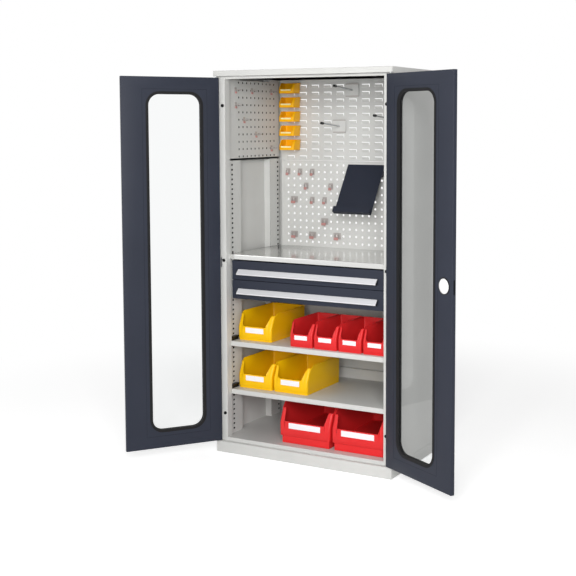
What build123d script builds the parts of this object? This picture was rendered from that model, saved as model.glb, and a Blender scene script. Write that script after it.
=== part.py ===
from build123d import *
import math
import os

# Tool cabinet with two windowed doors, in millimetres.
# +X is right, +Y is the back and +Z is up. The origin is on the floor, under the
# middle of the plinth. The doors are built shut and then swung to their rest angles.

# Overall
cabinet_width = 1000.0
cabinet_depth = 600.0
cabinet_height = 1950.0
carcass_sheet = 1.5
thin_sheet = 1.2
fit_gap = 0.3
seat_gap = 0.05

# Carcass
plinth_height = 57.0
plinth_flange = 30.0
cap_height = 28.0
floor_height = 18.0
floor_back_gap = 1.0
wall_top_gap = 1.0
header_height = 13.0
header_depth = 30.0
upright_width = 54.0
upright_depth = 41.0
upright_lip = 16.0
rear_flange = 60.0
rear_return = 15.0

# Slotted posts behind the uprights
post_setback = 38.0
front_post_width = 120.0
rear_post_width = 94.0
post_back_gap = 16.0

# Doors
door_thickness = 20.0
door_to_upright = 5.0
door_side_reveal = 1.0
door_centre_gap = 3.0
door_bottom_gap = 3.0
door_top_gap = 6.0
door_left_open = 127.0
door_right_open = 151.0
buffer_radius = 8.0
buffer_inset = 14.0
buffer_from_end = 140.0
hinge_return = 64.0
latch_return = 104.0
end_return = 60.0
window_from_hinge = 98.0
window_from_latch = 135.5
window_from_bottom = 93.0
window_height = 1677.0
window_radius = 55.0
gasket_web = 9.0
gasket_lip = 5.0
gasket_proud = 1.2
gasket_gap = 0.2
pane_thickness = 3.0
pane_bite = 5.0

# Pivot pins at the top and bottom of each door
pin_radius = 4.0
pin_clearance = 0.05
pin_from_edge = 12.0
pin_from_outer_face = 6.0
pin_reach = 12.0
pin_collar_radius = 6.0
pin_root = 3.0
bush_length = 15.0
bush_width = 22.0

# Lock with two driven rods, in the right door
lock_from_edge = 58.0
lock_height = 980.0
lock_case_width = 70.0
lock_case_length = 140.0
lock_case_depth = 14.0
lock_cover_radius = 33.5
lock_cover_proud = 6.0
lock_cover_shape = [(1.0, 0.0), (1.0, 0.45), (0.86, 0.85), (0.5, 1.0)]
rosette_radius = 22.0
rosette_thickness = 4.0
spindle_radius = 5.0
knob_length = 48.0
knob_width = 14.0
knob_reach = 22.0
hub_thickness = 4.0
hub_inset = 3.0
rod_end_metal = 5.0
cam_radius = 15.0
cam_thickness = 3.6
crank_radius = 10.0
crank_pin_radius = 2.5
rod_width = 14.0
rod_thickness = 3.0
rod_slot_play = 0.6
rod_end_setback = 2.0
rod_to_return = 1.8
strike_clearance = 2.0

# Back wall and wall panels
panel_setback = 38.0
hole_spacing = 38.0
hole_size = 10.0
side_columns = 10
louvre_rows = 11
louvre_width = 46.0
louvre_slot_height = 17.0
louvre_tab_width = 41.0
louvre_tab_height = 13.0
louvre_reach = 6.5
panel_top_gap = 1.0
hole_side_margin = 30.0
hole_top_margin = 22.0
hole_bottom_margin = 26.0
louvre_side_margin = 40.0
louvre_top_margin = 27.0
louvre_bottom_margin = 9.0
row_allowance = 0.01
side_panel_lift = 19.0
side_hole_margin = 12.0
panel_seam = 2.0
cross_rail_height = 54.0
cross_rail_bottom = 318.0

# Worktop, drawer case and drawers
worktop_top = 1020.0
worktop_thickness = 25.0
interior_front = -240.0
case_side_gap = 6.5
case_depth = 420.0
case_foot = 8.0
case_inset = 2.0
drawer_count = 2
drawer_pitch = 99.0
drawer_front_height = 97.0
drawer_side_gap = 10.0
drawer_front_depth = 20.0
drawer_wall_height = 72.0
drawer_wall_lift = 12.0
drawer_wall_play = 1.0
drawer_back_gap = 6.0
drawer_top_gap = 6.0
runner_height = 30.0
runner_depth = 12.0
runner_play = 0.5
runner_lift = 16.0
runner_end_gap = 2.0
handle_inset = 40.0
handle_drop = 24.0
handle_reach = 23.0
handle_from_top = 43.0
handle_thickness = 2.5
handle_roll = 3.0
handle_bead = 1.0

# Shelves and their clips
shelf_tops = {"shelf_upper": 570.0, "shelf_lower": 320.0}
shelf_side_gap = 0.5
shelf_thickness = 25.0
shelf_lip = 12.0
shelf_back_gap = 6.0
clip_length = 60.0
clip_rise = 20.0
clip_foot = 6.0
clip_hook = 6.0
clip_front_gap = 2.0
clip_back_gap = 22.0

# Document shelf
document_width = 216.0
document_x = 82.0
document_top_gap = 16.0
document_height = 248.0
document_reach = 164.0
document_lip = 22.0
document_back_gap = 4.0
document_arm_height = 58.0

# Tool holders
hook_columns = [5, 4, 8]
hook_rows = [0, 5, 4]
hook_plate_width = 76.0
hook_plate_height = 70.0
hook_plate_reach = 10.0
hook_plate_lift = 3.0
hook_rod_radius = 4.0
hook_length = 178.0
hook_rise = 15.0
hook_tip_radius = 7.0
hook_tip_length = 20.0
rod_sides = 8
ring_sides = 8
pad_sides = 12
knob_sides = 24
cover_sides = 32
clip_holes = [(0, 1), (2, 1), (4, 1), (3, 3), (7, 3), (4, 5), (6, 5)]
wide_clip_holes = [(1, 5), (6, 8), (1, 10), (4, 10), (8, 10)]
drawn_clip_rows = 12
clip_plate = 26.0
wide_clip_plate = 44.0
clip_plate_height = 34.0
clip_jaw_radius = 9.0
clip_jaw_height = 16.0
side_peg_holes = [(0, 1), (4, 1), (9, 1), (0, 3), (2, 5), (5, 7), (9, 9)]
side_peg_length = 38.0
side_peg_radius = 3.0
peg_plate_width = 18.0
peg_plate_height = 28.0

# Bins: width, depth, height, wall, and where each one stands
bin_wall = 2.0
bin_spacing = 2.0
medium_bin = (209.0, 350.0, 145.0)
narrow_bin = (135.0, 290.0, 130.0)
large_bin = (298.0, 470.0, 200.0)
small_bin = (100.0, 82.0, 56.0)
bin_front_share = 0.46
bin_shoulder_share = 0.30
bin_lip_share = 0.68
bin_step_share = 0.08
bin_step_inset = 0.03
large_bin_step_share = 0.22
large_bin_step_inset = 0.044
bin_lip_width = 0.11
medium_bin_setback = 46.0
medium_bin_side_gap = 8.0
narrow_bin_setback = 20.0
narrow_bin_side_gap = 9.5
large_bin_front = -237.0
large_bin_side_gap = 10.5
narrow_bin_count = 4
large_bin_count = 2
small_bin_pitch = 76.0
small_bin_rise = 14.0
small_hook_reach = 5.4
small_hook_bite = 3.0

# Places that follow from the sizes above
half_width = cabinet_width / 2
front = -cabinet_depth / 2
back = cabinet_depth / 2
upright_front = front + door_thickness + door_to_upright
upright_inner = half_width - upright_width
upright_back = upright_front + upright_depth
rear_wall_half_width = half_width - rear_flange
panel_half_width = rear_wall_half_width + carcass_sheet
shelf_half_width = upright_inner - shelf_side_gap
cap_bottom = cabinet_height - cap_height
floor_top = plinth_height + floor_height
post_face = half_width - post_setback
panel_front = back - panel_setback
rear_return_front = back - rear_return
post_back = rear_return_front - post_back_gap
door_width = half_width - door_side_reveal - door_centre_gap / 2
door_hinge_edge = -half_width + door_side_reveal
door_bottom = plinth_height + door_bottom_gap
door_top = cap_bottom - door_top_gap
door_inner_face = front + door_thickness
pin_x = door_hinge_edge + pin_from_edge
pin_y = front + pin_from_outer_face
window_width = door_width - window_from_hinge - window_from_latch
window_x = door_hinge_edge + window_from_hinge + window_width / 2
window_z = door_bottom + window_from_bottom + window_height / 2
skin_inside = front + thin_sheet
return_inside = door_inner_face - thin_sheet
lock_x = door_hinge_edge + door_width - lock_from_edge
rod_offset = crank_radius * (1 + math.cos(math.radians(45))) / 2
rod_back = return_inside - rod_to_return
rod_front = rod_back - rod_thickness
cam_back = rod_front - fit_gap
worktop_bottom = worktop_top - worktop_thickness
case_top = worktop_bottom
case_height = drawer_count * drawer_pitch + case_foot
case_front = interior_front + drawer_front_depth + case_inset
drawer_front_top = case_top - drawer_top_gap
case_half_width = upright_inner - case_side_gap
drawer_half_width = upright_inner - drawer_side_gap
handle_half_length = drawer_half_width - handle_inset
louvre_panel_top = cap_bottom - panel_top_gap
louvre_top = louvre_panel_top - louvre_top_margin
louvre_columns = 1 + int((panel_half_width - louvre_side_margin) / hole_spacing)
louvre_tab_top = louvre_top - louvre_slot_height + louvre_tab_height
louvre_low = louvre_top - (louvre_rows - 1) * hole_spacing - louvre_slot_height
louvre_bottom = louvre_low - louvre_bottom_margin
perforated_top = louvre_bottom - panel_seam
hole_top = perforated_top - hole_top_margin
hole_room = hole_top - worktop_top - hole_bottom_margin
back_columns = 1 + int(2 * (panel_half_width - hole_side_margin) / hole_spacing)
back_rows = 1 + int(hole_room / hole_spacing + row_allowance)
document_top = perforated_top - document_top_gap
document_bottom = document_top - document_height
small_bin_top = louvre_tab_top + small_bin_rise
side_panel_bottom = louvre_bottom + side_panel_lift
side_panel_top = cap_bottom - header_height - panel_top_gap
side_panel_front = upright_back + panel_top_gap
side_panel_back = panel_front - panel_top_gap
side_hole_top = side_panel_top - side_hole_margin


def block(x0, x1, y0, y1, z0, z1):
    box = Box(x1 - x0, y1 - y0, z1 - z0, align=(Align.MIN, Align.MIN, Align.MIN))
    return Pos(x0, y0, z0) * box


def mirrored(shape):
    return mirror(shape, about=Plane.YZ)


def side_profile(points, x0, x1):
    """Extrudes a closed outline of (y, z) points from x0 to x1."""
    outline = Polyline(*[(x0, y, z) for y, z in points], close=True)
    return extrude(make_face(outline), amount=x1 - x0, dir=(1, 0, 0))


def plan_profile(rectangles, z0, z1):
    """Folded sheet seen from above: overlapping (x0, x1, y0, y1) legs, extruded upwards."""
    legs = [block(x0, x1, y0, y1, z0, z1) for x0, x1, y0, y1 in rectangles]
    return legs[0] + legs[1:]


def rounded_slab(x, z, width, height, radius, y0, y1):
    """Upright slab with rounded corners between two depths."""
    plane = Plane(origin=(x, y1, z), x_dir=(1, 0, 0), z_dir=(0, -1, 0))
    return extrude(plane * RectangleRounded(width, height, radius), amount=y1 - y0)


def depth_cylinder(x, z, radius, y0, y1):
    """Cylinder along Y between two depths."""
    return Pos(x, (y0 + y1) / 2, z) * Rot(90, 0, 0) * Cylinder(radius, y1 - y0)


def bar(start, end, radius, sides):
    """Straight bar with a many-sided section between two points."""
    direction = end - start
    section = Plane(origin=start, z_dir=direction) * RegularPolygon(radius, sides)
    return extrude(section, amount=direction.length)


def upright_cylinder(x, y, radius, z0, z1):
    return Pos(x, y, (z0 + z1) / 2) * Cylinder(radius, z1 - z0)


def save(shape, name):
    export_step(shape, f"parts/{name}.step")


# Carcass -------------------------------------------------------------------


def strike_slot(z0, z1):
    """Hole that takes a lock rod's end when the right door is shut and locked."""
    x = -lock_x
    y = (rod_front + rod_back) / 2
    wide = 2 * rod_offset + rod_width + 2 * strike_clearance
    deep = rod_thickness + 2 * strike_clearance
    return block(x - wide / 2, x + wide / 2, y - deep / 2, y + deep / 2, z0, z1)


def pin_holes(z0, z1):
    return [upright_cylinder(x, pin_y, pin_radius, z0, z1) for x in (pin_x, -pin_x)]


def make_plinth():
    t = carcass_sheet
    outer = block(-half_width, half_width, front, back, 0, plinth_height)
    channel = block(-half_width + t, half_width - t, front + t, back - t, t, plinth_height - t)
    f = plinth_flange
    opening = block(-half_width + f, half_width - f, front + f, back - f, 0, plinth_height)
    top = (plinth_height - t, plinth_height)
    return outer - channel - opening - strike_slot(*top) - pin_holes(*top)


def make_top_cap():
    t = carcass_sheet
    outer = block(-half_width, half_width, front, back, cap_bottom, cabinet_height)
    hollow = block(
        -half_width + t, half_width - t, front + t, back - t, cap_bottom + t, cabinet_height - t
    )
    mouth = block(
        -half_width + t, half_width - t, upright_front, back - t, cap_bottom, cap_bottom + t
    )
    bottom = (cap_bottom, cap_bottom + t)
    return outer - hollow - mouth - strike_slot(*bottom) - pin_holes(*bottom)


def make_floor_panel():
    t = carcass_sheet
    side = half_width - t
    y1 = panel_front - floor_back_gap
    outer = block(-side, side, upright_front, y1, plinth_height, floor_top)
    hollow = block(
        -side + t, side - t, upright_front + t, y1 - t, plinth_height, floor_top - t
    )
    corners = [
        block(-side, -upright_inner, upright_front, upright_back + 1, plinth_height, floor_top),
        block(upright_inner, side, upright_front, upright_back + 1, plinth_height, floor_top),
    ]
    return outer - hollow - corners


def make_side_wall():
    """Left wall: skin, front upright and rear flange folded from one sheet."""
    t = carcass_sheet
    legs = [
        (-half_width, -half_width + t, upright_front, back),
        (-half_width, -upright_inner, upright_front, upright_front + t),
        (-upright_inner - t, -upright_inner, upright_front, upright_back),
        (-upright_inner - upright_lip, -upright_inner, upright_back - t, upright_back),
        (-half_width, -half_width + rear_flange, back - t, back),
        (
            -half_width + rear_flange - t,
            -half_width + rear_flange,
            rear_return_front,
            back,
        ),
    ]
    return plan_profile(legs, plinth_height, cap_bottom)


def make_header_rail():
    t = carcass_sheet
    x, y1 = upright_inner, upright_front + header_depth
    z0, z1 = cap_bottom - header_height, cap_bottom
    outer = block(-x, x, upright_front, y1, z0, z1)
    return outer - block(-x, x, upright_front + t, y1, z0 + t, z1 - t)


def make_post(y0, y1):
    """Left slotted post: a channel with its face towards the inside."""
    t = carcass_sheet
    skin = -half_width + t
    legs = [
        (-post_face - t, -post_face, y0, y1),
        (skin, -post_face, y0, y0 + t),
        (skin, -post_face, y1 - t, y1),
    ]
    return plan_profile(legs, floor_top, cap_bottom - 1)


def make_posts():
    front_post = make_post(upright_back, upright_back + front_post_width)
    rear_post = make_post(post_back - rear_post_width, post_back)
    left = [front_post, rear_post]
    return Compound(children=left + [mirrored(post) for post in left])


def panel_tray(z0, z1):
    """Wall panel with its four edges folded back."""
    t = carcass_sheet
    x = panel_half_width
    outer = block(-x, x, panel_front, rear_return_front, z0, z1)
    hollow = block(-x + t, x - t, panel_front + t, rear_return_front, z0 + t, z1 - t)
    return outer - hollow


def make_rear_wall_lower():
    t = carcass_sheet
    z0, z1 = plinth_height, worktop_top - wall_top_gap
    x = rear_wall_half_width
    outer = block(-x, x, rear_return_front - t, back, z0, z1)
    return outer - block(-x + t, x - t, rear_return_front, back, z0 + t, z1 - t)


def make_cross_rail():
    t = carcass_sheet
    x = panel_half_width
    z0, z1 = cross_rail_bottom, cross_rail_bottom + cross_rail_height
    y1 = rear_return_front - t
    outer = block(-x, x, panel_front, y1, z0, z1)
    hollow = block(-x, x, panel_front + t, y1, z0 + t, z1 - t)
    return outer - hollow


def hole_place(column, row):
    """Centre of one hole of the perforated back panel."""
    x = (column - (back_columns - 1) / 2) * hole_spacing
    return x, hole_top - row * hole_spacing


def make_perforated_panel():
    tray = panel_tray(worktop_top, perforated_top)
    z = hole_top - (back_rows - 1) * hole_spacing / 2
    plane = Plane(origin=(0, panel_front + carcass_sheet, z), x_dir=(1, 0, 0), z_dir=(0, -1, 0))
    grid = GridLocations(hole_spacing, hole_spacing, back_columns, back_rows)
    holes = Sketch() + [place * Rectangle(hole_size, hole_size) for place in grid]
    return tray - extrude(plane * holes, amount=carcass_sheet)


def louvre_place(column, row):
    """Centre of one louvre's slot."""
    x = (column - (louvre_columns - 1) / 2) * 2 * hole_spacing
    return x, louvre_top - louvre_slot_height / 2 - row * hole_spacing


def make_louvre_panel():
    """Panel with pressed tabs: each is cut on three sides and bent out at its top."""
    tray = panel_tray(louvre_bottom, louvre_panel_top)
    x, z = louvre_place((louvre_columns - 1) / 2, (louvre_rows - 1) / 2)
    plane = Plane(origin=(x, panel_front + carcass_sheet, z), x_dir=(1, 0, 0), z_dir=(0, -1, 0))
    grid = GridLocations(2 * hole_spacing, hole_spacing, louvre_columns, louvre_rows)
    slots = Sketch() + [place * Rectangle(louvre_width, louvre_slot_height) for place in grid]
    panel = tray - extrude(plane * slots, amount=carcass_sheet)
    y, t = panel_front, carcass_sheet
    tab = [
        (y, -louvre_slot_height / 2 - t),
        (y - louvre_reach, louvre_tab_height - louvre_slot_height / 2),
        (y - louvre_reach + t, louvre_tab_height - louvre_slot_height / 2),
        (y + t, -louvre_slot_height / 2),
        (y + t, -louvre_slot_height / 2 - t),
    ]
    shape = side_profile(tab, -louvre_tab_width / 2, louvre_tab_width / 2)
    tabs = []
    for column in range(louvre_columns):
        for row in range(louvre_rows):
            x, z = louvre_place(column, row)
            tabs.append(Pos(x, 0, z) * shape)
    return panel + tabs


def make_side_panel():
    """Left upper panel over both posts. Its small holes are round the tool pegs."""
    t = carcass_sheet
    return block(
        -post_face, -post_face + t, side_panel_front, side_panel_back, side_panel_bottom, side_panel_top
    )


def make_pivot_pins():
    pins = []
    for x in (pin_x, -pin_x):
        upper = upright_cylinder(x, pin_y, pin_radius, door_top - pin_reach, cap_bottom + pin_root)
        lower = upright_cylinder(
            x, pin_y, pin_radius, plinth_height - pin_root, door_bottom + pin_reach
        )
        foot, head = Vector(x, pin_y, plinth_height), Vector(x, pin_y, door_bottom - fit_gap)
        collar = bar(foot, head, pin_collar_radius, pad_sides)
        pins += [upper, lower + collar]
    return Compound(children=pins)


def make_door_buffers():
    """Rubber pads on the uprights that the shut doors rest against."""
    pads = []
    x, y0 = -upright_inner - buffer_inset, door_inner_face + fit_gap
    for z in (door_bottom + buffer_from_end, window_z, door_top - buffer_from_end):
        pad = bar(Vector(x, y0, z), Vector(x, upright_front, z), buffer_radius, pad_sides)
        pads += [pad, mirrored(pad)]
    return Compound(children=pads)


# Doors ---------------------------------------------------------------------


def edge_u(distance):
    """X of a line at a distance from the left door's hinge edge."""
    return door_hinge_edge + distance


def window_cut(grow, y0, y1):
    return rounded_slab(
        window_x,
        window_z,
        window_width + 2 * grow,
        window_height + 2 * grow,
        window_radius + grow,
        y0,
        y1,
    )


def make_door_shell():
    """Outer skin folded round into four returns, with the window cut in its face."""
    t = thin_sheet
    outer = block(edge_u(0), edge_u(door_width), front, door_inner_face, door_bottom, door_top)
    hollow = block(
        edge_u(t), edge_u(door_width - t), skin_inside, return_inside, door_bottom + t, door_top - t
    )
    mouth = block(
        edge_u(hinge_return),
        edge_u(door_width - latch_return),
        return_inside,
        door_inner_face,
        door_bottom + end_return,
        door_top - end_return,
    )
    shell = outer - hollow - mouth - window_cut(gasket_web, front, skin_inside)
    bore = pin_radius + pin_clearance
    for z in (door_bottom, door_top - t):
        shell -= upright_cylinder(pin_x, pin_y, bore, z, z + t)
    return shell


def make_door_liner():
    """Inner tray that closes the shell's mouth and stiffens the window's edge."""
    t = thin_sheet
    x0, x1 = edge_u(hinge_return + fit_gap), edge_u(door_width - latch_return - fit_gap)
    z0, z1 = door_bottom + end_return + fit_gap, door_top - end_return - fit_gap
    outer = block(x0, x1, skin_inside, door_inner_face, z0, z1)
    hollow = block(x0 + t, x1 - t, skin_inside, return_inside, z0 + t, z1 - t)
    return outer - hollow - window_cut(gasket_web, return_inside, door_inner_face)


def make_door_gasket():
    """Rubber ring with a lip on each face and a groove for the pane."""
    web = window_cut(gasket_web - gasket_gap, front, door_inner_face)
    outer_lip = window_cut(gasket_web + gasket_lip, front - gasket_proud, front)
    inner_lip = window_cut(
        gasket_web + gasket_lip, door_inner_face, door_inner_face + gasket_proud
    )
    opening = window_cut(0, front - gasket_proud, door_inner_face + gasket_proud)
    return web + outer_lip + inner_lip - opening - make_door_pane()


def make_door_pane():
    middle = (front + door_inner_face) / 2
    return window_cut(pane_bite, middle - pane_thickness / 2, middle + pane_thickness / 2)


def make_door_bushes():
    """Two bearing blocks in the hinge-side corners of the shell."""
    t = thin_sheet
    blocks = []
    for z0 in (door_bottom + t, door_top - t - bush_length):
        bush = block(
            edge_u(t) + seat_gap,
            edge_u(t + bush_width),
            skin_inside + seat_gap,
            return_inside - seat_gap,
            z0 + seat_gap,
            z0 + bush_length - seat_gap,
        )
        bore = upright_cylinder(pin_x, pin_y, pin_radius + pin_clearance, z0, z0 + bush_length)
        blocks.append(bush - bore)
    return Compound(children=blocks)


# Lock, built in the left door's place and mirrored with the right door ------


def rod_opening(side, z0, z1, play):
    x = lock_x + side * rod_offset
    return block(
        x - rod_width / 2 - play, x + rod_width / 2 + play, rod_front - play, rod_back + play, z0, z1
    )


def make_lock_case():
    t = thin_sheet
    x0, x1 = lock_x - lock_case_width / 2, lock_x + lock_case_width / 2
    z0, z1 = lock_height - lock_case_length / 2, lock_height + lock_case_length / 2
    y0 = return_inside - lock_case_depth
    case = block(x0, x1, y0, return_inside, z0, z1)
    case -= block(x0 + t, x1 - t, y0 + t, return_inside - t, z0 + t, z1 - t)
    case -= depth_cylinder(lock_x, lock_height, spindle_radius + pin_clearance, y0, y0 + t)
    case -= rod_opening(1, z1 - t, z1, runner_play) + rod_opening(-1, z0, z0 + t, runner_play)
    rosette = depth_bar(rosette_radius, front - rosette_thickness, front, knob_sides)
    rosette -= depth_cylinder(
        lock_x, lock_height, spindle_radius + pin_clearance, front - rosette_thickness, front
    )
    return Compound(children=[case, rosette])


def make_lock_cover():
    """Low dome over the lock on the door's inner face."""
    rings = []
    for radius_share, height_share in lock_cover_shape:
        y = door_inner_face + lock_cover_proud * height_share
        plane = Plane(origin=(lock_x, y, lock_height), z_dir=(0, 1, 0))
        rings.append(plane * RegularPolygon(lock_cover_radius * radius_share, cover_sides))
    return loft(rings, ruled=True)


def depth_bar(radius, y0, y1, sides, x=lock_x, z=lock_height):
    """Many-sided disc or pin along Y, on the spindle's line unless placed elsewhere."""
    return bar(Vector(x, y0, z), Vector(x, y1, z), radius, sides)


def make_turn_handle():
    """Wing knob, spindle and cam with two crank pins, turned as one."""
    face = front - rosette_thickness - fit_gap
    tip = face - knob_reach
    hub_front = face - hub_thickness
    hub = depth_bar(rosette_radius - hub_inset, hub_front, face, knob_sides)
    corner = knob_width / 2 - seat_gap
    grip = rounded_slab(lock_x, lock_height, knob_width, knob_length, corner, tip, hub_front)
    spindle = depth_cylinder(lock_x, lock_height, spindle_radius, hub_front, cam_back)
    cam = depth_bar(cam_radius, cam_back - cam_thickness, cam_back, knob_sides)
    shift = crank_radius * math.cos(math.radians(45))
    pins = []
    for side in (1, -1):
        x, z = lock_x + side * shift, lock_height - side * shift
        pins.append(depth_bar(crank_pin_radius, cam_back, rod_back, ring_sides, x, z))
    return hub + grip + spindle + cam + pins


def make_lock_rod(side):
    """Flat rod whose end slot rides on a crank pin. side is 1 for the upper rod."""
    shift = crank_radius * math.cos(math.radians(45))
    pin_z = lock_height - side * shift
    near = pin_z - side * (crank_pin_radius + rod_end_metal)
    far = door_top - rod_end_setback if side > 0 else door_bottom + rod_end_setback
    rod = rod_opening(side, min(near, far), max(near, far), 0)
    slot_height = 2 * (crank_pin_radius + rod_slot_play)
    slot_width = slot_height + crank_radius - shift
    x = lock_x + side * rod_offset
    return rod - block(
        x - slot_width / 2,
        x + slot_width / 2,
        rod_front,
        rod_back,
        pin_z - slot_height / 2,
        pin_z + slot_height / 2,
    )


def make_lock_door_shell(shell):
    """The shell with the lock's holes: spindle, and a rod at the top and bottom edge."""
    t = thin_sheet
    shell -= depth_cylinder(lock_x, lock_height, spindle_radius + pin_clearance, front, skin_inside)
    shell -= rod_opening(1, door_top - t, door_top, runner_play)
    shell -= rod_opening(-1, door_bottom, door_bottom + t, runner_play)
    return shell


def swing(shape, side):
    """Turns a shut door's piece to the angle at which the door stands open."""
    if side < 0:
        return shape.rotate(Axis((pin_x, pin_y, 0), (0, 0, 1)), -door_left_open)
    return mirrored(shape).rotate(Axis((-pin_x, pin_y, 0), (0, 0, 1)), door_right_open)


def save_doors():
    shell = make_door_shell()
    same = {
        "liner": make_door_liner(),
        "gasket": make_door_gasket(),
        "pane": make_door_pane(),
        "bushes": make_door_bushes(),
    }
    for side, name in ((-1, "door_left"), (1, "door_right")):
        for piece, shape in same.items():
            save(swing(shape, side), f"{name}_{piece}")
    save(swing(shell, -1), "door_left_shell")
    save(swing(make_lock_door_shell(shell), 1), "door_right_shell")
    save(swing(make_lock_case(), 1), "lock_case")
    save(swing(make_lock_cover(), 1), "lock_cover")
    save(swing(make_turn_handle(), 1), "turn_handle")
    save(swing(make_lock_rod(1), 1), "lock_rod_upper")
    save(swing(make_lock_rod(-1), 1), "lock_rod_lower")


# Worktop and drawers -------------------------------------------------------


def make_worktop():
    """Sheet with its edges folded down, narrower where it passes between the uprights."""
    t = carcass_sheet
    x0, x1 = shelf_half_width, post_face - shelf_side_gap
    y0, y1 = interior_front, upright_back + shelf_side_gap
    z0, z1 = worktop_bottom, worktop_top
    outer = block(-x0, x0, y0, y1, z0, z1) + block(-x1, x1, y1, panel_front, z0, z1)
    hollow = block(-x0 + t, x0 - t, y0 + t, y1 + t, z0, z1 - t)
    hollow += block(-x1 + t, x1 - t, y1 + t, panel_front - t, z0, z1 - t)
    return outer - hollow


def make_drawer_case():
    """Two side channels that reach the posts, joined by a top sheet and a back sheet."""
    t = thin_sheet
    z0, z1 = case_top - case_height, case_top
    y0, y1 = case_front, case_front + case_depth
    left = plan_profile(
        [
            (-case_half_width, -case_half_width + t, y0, y1),
            (-post_face, -case_half_width + t, y0, y0 + t),
            (-post_face, -case_half_width + t, y1 - t, y1),
        ],
        z0,
        z1,
    )
    top = block(-case_half_width, case_half_width, y0, y1, z1 - t, z1)
    rear = block(-case_half_width, case_half_width, y1 - t, y1, z0, z1)
    return top + left + mirrored(left) + rear


def drawer_bottom(index):
    return drawer_front_top - index * drawer_pitch - drawer_front_height


def runner_bottom(index):
    return drawer_bottom(index) + drawer_wall_lift + runner_lift


def make_case_runners():
    """One channel on each side of each drawer."""
    t = thin_sheet
    x1 = -case_half_width + t
    runners = []
    for index in range(drawer_count):
        z = runner_bottom(index)
        y0, y1 = case_front + runner_end_gap, case_front + case_depth - runner_end_gap
        channel = block(x1, x1 + runner_depth, y0, y1, z, z + runner_height)
        channel -= block(x1 + t, x1 + runner_depth, y0, y1, z + t, z + runner_height - t)
        runners += [channel, mirrored(channel)]
    return Compound(children=runners)


def make_drawer_front(index):
    t = thin_sheet
    z0 = drawer_bottom(index)
    y0, y1 = interior_front, interior_front + drawer_front_depth
    x = drawer_half_width
    outer = block(-x, x, y0, y1, z0, z0 + drawer_front_height)
    hollow = block(-x + t, x - t, y0 + t, y1, z0 + t, z0 + drawer_front_height - t)
    return outer - hollow


def make_drawer_tray(index):
    """Open tray with a slide rail folded out along each side."""
    t = thin_sheet
    x = case_half_width - t - runner_depth - drawer_wall_play
    z0 = drawer_bottom(index) + drawer_wall_lift
    y0 = interior_front + t
    y1 = case_front + case_depth - t - drawer_back_gap
    tray = block(-x, x, y0, y1, z0, z0 + drawer_wall_height)
    tray -= block(-x + t, x - t, y0 + t, y1 - t, z0 + t, z0 + drawer_wall_height)
    z = runner_bottom(index) + t + runner_play
    rail_top = runner_bottom(index) + runner_height - t - runner_play
    reach = case_half_width - 2 * t - runner_play
    rail_front, rail_back = case_front + 2 * runner_end_gap, y1 - 2 * runner_end_gap
    rail = block(-reach, -x, rail_front, rail_back, z, rail_top)
    rail -= block(-reach + t, -x, rail_front, rail_back, z + t, rail_top - t)
    return tray + rail + mirrored(rail)


def make_drawer_handle(index):
    """Aluminium grip strip that slopes out and down, with a rolled lower edge."""
    top = drawer_bottom(index) + drawer_front_height - handle_from_top
    y = interior_front
    t = handle_thickness
    points = [
        (y, top),
        (y, top - t - handle_roll),
        (y - handle_reach + t, top - handle_drop + handle_bead),
        (y - handle_reach + t + handle_roll, top - handle_drop - t),
        (y - handle_reach, top - handle_drop - t),
        (y - handle_reach - handle_bead, top - handle_drop + handle_roll),
        (y - handle_roll, top),
    ]
    return side_profile(points, -handle_half_length, handle_half_length)


def save_drawers():
    for index, name in enumerate(("drawer_upper", "drawer_lower")):
        save(make_drawer_front(index), f"{name}_front")
        save(make_drawer_tray(index), f"{name}_tray")
        save(make_drawer_handle(index), f"{name}_handle")


# Shelves -------------------------------------------------------------------


def make_shelf(top):
    """Sheet with all its edges folded down, and a short lip under the front and back."""
    t = thin_sheet
    x = shelf_half_width
    y0, y1 = interior_front, panel_front - shelf_back_gap
    bottom = top - shelf_thickness
    shelf = block(-x, x, y0, y1, bottom, top)
    shelf -= block(-x + t, x - t, y0 + t, y1 - t, bottom + t, top - t)
    shelf -= block(-x + t, x - t, y0 + shelf_lip, y1 - shelf_lip, bottom, bottom + t)
    return shelf


def make_shelf_clips():
    """Plastic brackets in the posts' slots: a foot under the shelf and a hook above it."""
    clips = []
    outer, edge = -post_face, -shelf_half_width
    for top in shelf_tops.values():
        bottom = top - shelf_thickness
        for y0 in (upright_back + clip_front_gap, post_back - clip_back_gap - clip_length):
            y1 = y0 + clip_length
            low, high = bottom - clip_foot, top + clip_rise
            clip = block(outer, edge - fit_gap, y0, y1, low, high)
            clip += block(outer, edge + clip_hook, y0, y1, low, bottom)
            clip += block(outer, edge + clip_hook, y0, y1, high - clip_foot, high)
            clips += [clip, mirrored(clip)]
    return Compound(children=clips)


# Tool holders --------------------------------------------------------------


def make_document_shelf():
    """Sloping plate with a front lip, and two arms that reach back to the panel."""
    t = carcass_sheet
    top = Vector(0, panel_front - document_back_gap, document_top)
    toe = Vector(0, panel_front - document_reach, document_bottom)
    down = (toe - top).normalized()
    out = Vector(0, down.Z, -down.Y)
    lip = toe + out * document_lip
    corners = [top, toe, lip, lip + down * t, toe + down * t - out * t, top - out * t]
    x0, x1 = document_x - document_width / 2, document_x + document_width / 2
    shelf = side_profile([(c.Y, c.Z) for c in corners], x0, x1)
    middle = top - out * t / 2
    near, far = middle + down * 2 * t, middle + down * document_arm_height * 1.3
    arm = [
        (panel_front, document_top - 2 * t),
        (panel_front, document_top - document_arm_height),
        (far.Y, far.Z),
        (near.Y, near.Z),
    ]
    return shelf + side_profile(arm, x0, x0 + t) + side_profile(arm, x1 - t, x1)


def hook_place(index):
    x, z = louvre_place(hook_columns[index], hook_rows[index])
    return x, z + louvre_slot_height / 2 + hook_plate_lift


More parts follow.
